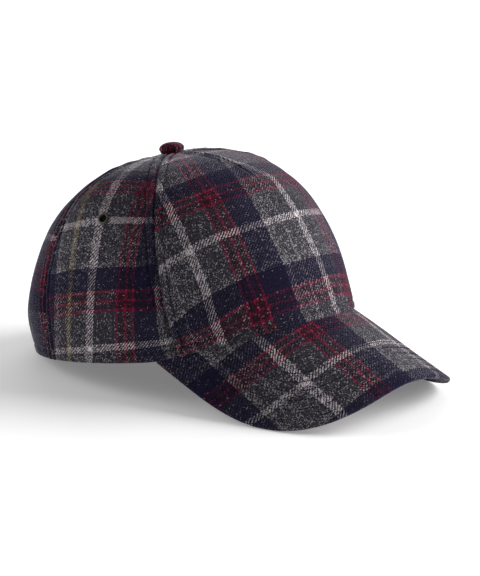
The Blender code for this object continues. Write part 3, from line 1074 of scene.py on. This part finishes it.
button = {
    "radius": 0.0073,
    "height": 0.0047,
    "padding": 0.0015,  # the cloth is padded a little over the shell
    "seat": 0.0003,
    "edgeShare": 0.30,
    "domeSteps": 26,
    "tuckSteps": 5,
    "around": 96,
    "tuck": 0.0006,
    "tuckIn": 0.0004,
    "shank": 0.0028,
    "shankLength": 0.0024,
    "pole": 0.00008,
    "lift": 0.0001,
    "folds": 11,
    "foldDepth": 0.00022,
    "foldRise": 0.4,
    "spread": 0.25,  # how much the dome stretches the cloth at its edge
    "warp": 0.0275,
    "weft": 0.0268,
}
eyelet = {
    "angle": math.radians(83.5),
    "climb": math.radians(38.5),
    "bore": 0.0022,
    "barrel": 0.0027,
    "rim": 0.0036,
    "height": 0.0010,
    "sink": 0.0003,
    "backHeight": 0.0004,
    "around": 72,
    "clearance": 0.0001,
    "cutDepth": 0.012,
}


def buttonProfile(edge):
    line = []
    for step in range(button["domeSteps"] + 1):
        tip = math.pi / 2 * (1 - step / button["domeSteps"])
        rise = (button["seat"] + button["height"] + button["padding"] - edge) * math.sin(tip) ** 0.9
        line.append((max(button["radius"] * math.cos(tip) ** 0.8, button["pole"]), edge + rise))
    for step in range(1, button["tuckSteps"] + 1):
        turn = math.pi / 2 * step / button["tuckSteps"]
        radius = button["radius"] - button["tuck"] * (1 - math.cos(turn)) - button["tuckIn"]
        line.append((radius, edge - (edge - button["lift"]) * math.sin(turn)))
    shank, low = button["shank"], -button["shankLength"]
    return line + [(shank, button["lift"]), (shank, low), (button["pole"], low)]


def makeButton(place):
    around = button["around"]
    turn = np.linspace(0, 2 * math.pi, around, endpoint=False)
    edge = button["seat"] + (button["height"] + button["padding"]) * button["edgeShare"]
    rows = []
    uv = []
    for radius, height in buttonProfile(edge):
        outer = radius / button["radius"]
        fold = button["foldDepth"] * outer ** 4 * np.sin(button["folds"] * turn + 2 * np.sin(3 * turn))
        fold = fold * (radius > button["shank"] + 0.001)
        reach = radius + fold
        level = height + fold * button["foldRise"]
        rows.append(np.stack([reach * np.cos(turn), reach * np.sin(turn), level], -1))
        spread = radius * (1 + button["spread"] * outer ** 2)
        if height < edge:
            spread = radius + edge - height
        warp = spread * np.cos(turn) + button["warp"]
        weft = spread * np.sin(turn) + button["weft"]
        uv.append(np.stack([warp, weft], -1))
    rows = np.array(rows) + np.array([0, 0, crown["height"]])
    faces = [face[::-1] for face in gridFaces(len(rows), around, False, True)]
    faces.append(tuple(range(around)))
    faces.append(tuple(reversed(range((len(rows) - 1) * around, len(rows) * around))))
    piece = makeMesh("button_cloth", rows, faces, place)
    writeUV(piece, np.array(uv))
    return piece


def eyeletPlace(side, place):
    seat = crownPoint(side * eyelet["angle"], eyelet["climb"])
    normal = crownNormal(np.array(side * eyelet["angle"]), np.array(eyelet["climb"]))
    aim = Vector(normal).to_track_quat("Z", "Y").to_matrix().to_4x4()
    return place @ Matrix.Translation(Vector(seat)) @ aim


def makeEyelet(name, side, place):
    around = eyelet["around"]
    bore, barrel, rim, height, sink = (eyelet[key] for key in ("bore", "barrel", "rim", "height", "sink"))
    under = -cloth["wall"] - sink
    back = under - eyelet["backHeight"]
    line = [(bore, height * 0.35), (bore + 0.0001, height * 0.72), (bore + 0.0003, height * 0.95),
            (barrel, height), (barrel + 0.0003, height * 0.93), (rim - 0.00022, height * 0.66),
            (rim, height * 0.28), (rim - 0.00012, -0.0002), (barrel, -sink), (barrel, under),
            (rim * 0.95, under), (rim * 0.96, back), (barrel, back - 0.0001), (bore, back)]
    turns = np.linspace(0, 2 * math.pi, around, endpoint=False)
    rows = np.array([[(radius * math.cos(turn), radius * math.sin(turn), level) for turn in turns]
                     for radius, level in line])
    faces = [face[::-1] for face in gridFaces(len(rows), around, True, True)]
    piece = makeMesh(name, rows, faces, eyeletPlace(side, place), floor=False)
    slots = np.zeros(len(faces), np.int32)
    # painted shade: the bore's faces take the near-black second material, standing in for the shade inside
    # the hole
    slots[-around:] = 1  # the bore, the last ring of faces
    piece.data.polygons.foreach_set("material_index", slots)
    return piece


def cutEyeletHole(panel, side, place):
    radius = eyelet["barrel"] + eyelet["clearance"]
    bpy.ops.mesh.primitive_cylinder_add(vertices=48, radius=radius, depth=eyelet["cutDepth"])
    cutter = bpy.context.object
    cutter.matrix_world = eyeletPlace(side, place)
    hole = panel.modifiers.new("Eyelet hole", "BOOLEAN")
    hole.operation = "DIFFERENCE"
    hole.solver = "EXACT"
    hole.object = cutter
    bakeModifier(panel, hole)
    bpy.data.objects.remove(cutter)


# Build the cap

place = wornPlace()
tartanCloth = tartanMaterial()
darkThread = grainedMaterial("dark_sewing_thread")
metal = grainedMaterial("blackened_brass")
boreShade = grainedMaterial("bore_painted_shade")

grids = {}
for name in panels:
    piece, grids[name] = makePanel(name, place)
    if name.startswith("side"):
        cutEyeletHole(piece, -1 if name.endswith("right") else 1, place)
    dressPiece(piece, name, "tartan_wool", tartanCloth)
    print("panel", name)

dressPiece(makePeak(place), "peak", "tartan_wool", tartanCloth)
dressPiece(makeButton(place), "button", "tartan_wool", tartanCloth)
for name, side in (("eyelet_right", -1), ("eyelet_left", 1)):
    dressPiece(makeEyelet(name + "_metal", side, place), name, "eyelet_metal", metal, boreShade)
print("peak, button and eyelets")

stitches = stitchTree(darkThread)
seamRows = []
for name in panels:
    for last in (False, True):
        seamRows.append(rowBesideSeam(grids[name], last, cloth["stitchOffset"], 8))
makeStitches("seam_topstitching", seamRows, place, stitches, {"Seed": 3})
hemRows = [rowAboveHem(grids[name], cloth["hemTurn"]) for name in panels]
makeStitches("hem_stitching", hemRows, place, stitches, {"Seed": 5})
peakValues = {"Seed": 9, "Stitch Length": thread["peakLength"]}
makeStitches("peak_stitching", peakStitchPaths(), place, stitches, peakValues)
print("stitching")


# Floor, light and camera

studio = {
    "floorSize": 9.0,
    "floorColour": (0.92, 0.92, 0.92, 1.0),
    "floorRoughness": 0.9,
    "floorSpecular": 0.1,
    "glowColour": (1.0, 1.0, 1.0, 1.0),
    "floorGlow": 0.18,
    "skyStrength": 0.11,
    "lights": {
        "key_right": {"from": (1.7, -1.2, 1.05), "size": 2.0, "power": 100},
        "rim_right": {"from": (1.6, 1.2, 1.0), "size": 1.6, "power": 20},
        "back_left": {"from": (-1.25, 1.9, 1.0), "size": 2.0, "power": 32},
        "top": {"from": (0.0, 0.05, 2.4), "size": 2.0, "power": 2},
    },
}
view = {
    "aim": (0.0179, 0.0083, 0.0470),
    "distance": 1.5007,
    "azimuth": math.radians(-52.33),
    "elevation": math.radians(13.78),
    "roll": math.radians(2.42),
    "lens": 157.97,
}


def makeFloor():
    size = studio["floorSize"]
    mesh = bpy.data.meshes.new("studio_floor")
    corners = [(-size, -size, 0), (size, -size, 0), (size, size, 0), (-size, size, 0)]
    mesh.from_pydata(corners, [], [(0, 1, 2, 3)])
    floor = linkPiece("studio_floor", mesh)
    material, tree, shader = newMaterial("pale_floor")
    setInputs(tree, shader, {
        "Base Color": studio["floorColour"], "Roughness": studio["floorRoughness"],
        "Specular IOR Level": studio["floorSpecular"], "Emission Color": studio["glowColour"],
        "Emission Strength": studio["floorGlow"]})
    mesh.materials.append(material)


def makeLights():
    world = bpy.data.worlds.new("studio_sky")
    bpy.context.scene.world = world
    world.use_nodes = True
    sky = world.node_tree.nodes["Background"]
    setInputs(world.node_tree, sky, {"Color": studio["glowColour"], "Strength": studio["skyStrength"]})
    for name, light in studio["lights"].items():
        lamp = bpy.data.lights.new(name, "AREA")
        lamp.shape = "SQUARE"
        lamp.size = light["size"]
        lamp.energy = light["power"]
        holder = linkPiece(name, lamp)
        holder.location = light["from"]
        holder.rotation_euler = (-Vector(light["from"])).to_track_quat("-Z", "Y").to_euler()


def makeCamera():
    turn, lift = view["azimuth"], view["elevation"]
    back = Vector((math.sin(turn) * math.cos(lift), -math.cos(turn) * math.cos(lift), math.sin(lift)))
    lens = bpy.data.cameras.new("studio_camera")
    lens.lens = view["lens"]
    camera = linkPiece("studio_camera", lens)
    spin = Matrix.Rotation(view["roll"], 4, "Z")
    facing = back.to_track_quat("Z", "Y").to_matrix().to_4x4()
    camera.matrix_world = Matrix.Translation(Vector(view["aim"]) + back * view["distance"]) @ facing @ spin
    bpy.context.scene.camera = camera


makeFloor()
makeLights()
makeCamera()
bpy.context.scene.view_settings.view_transform = "Standard"
print("studio")
